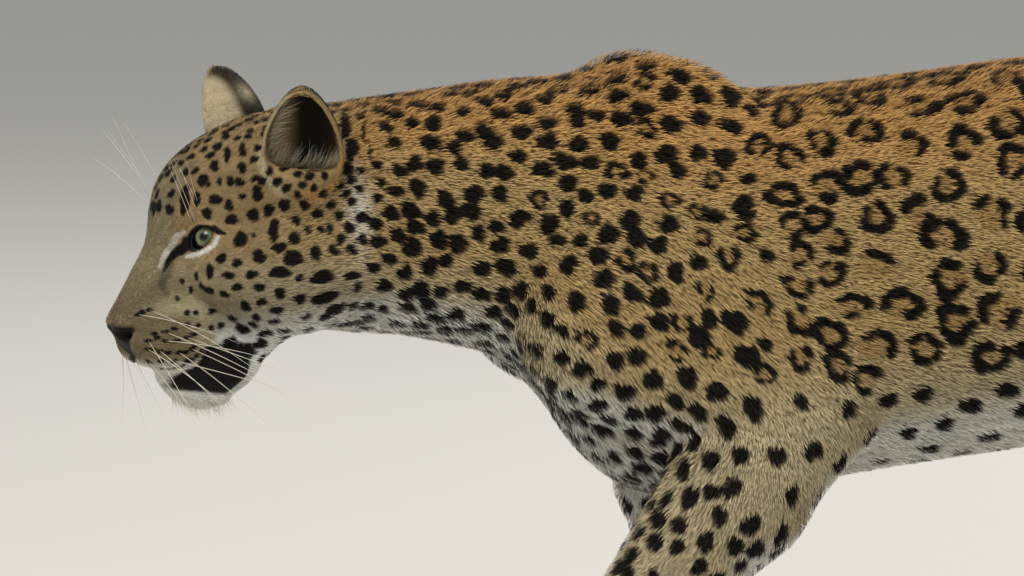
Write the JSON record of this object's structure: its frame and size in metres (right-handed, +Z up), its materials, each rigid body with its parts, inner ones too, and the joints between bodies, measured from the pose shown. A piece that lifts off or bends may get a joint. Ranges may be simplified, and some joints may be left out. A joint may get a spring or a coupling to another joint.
{
  "type": "leopard",
  "caption": "Leopard standing in a low walking stance, head level with the back and tail carried low; still, life-size animal model.",
  "frame": {"origin": "middle of the animal's bounding rectangle on the floor", "axes": "+X from the head to the tail, +Y to the animal's right side, +Z up"},
  "size_m": [1.6328, 0.2582, 0.5759],
  "materials": {
    "coat": "short spotted fur",
    "eye": "moist, polished"
  },
  "bodies": {
    "root": {"face": "coat", "skull": "coat", "left_ear": "coat", "right_ear": "coat", "left_eye": "eye", "right_eye": "eye", "neck": "coat", "chest": "coat", "belly": "coat", "rump": "coat", "left_foreleg": "coat", "left_forepaw": "coat", "right_foreleg": "coat", "right_forepaw": "coat", "left_hindleg": "coat", "left_hindpaw": "coat", "right_hindleg": "coat", "right_hindpaw": "coat", "tail_root": "coat", "tail_middle": "coat", "tail_tip": "coat"}
  },
  "joints": []
}
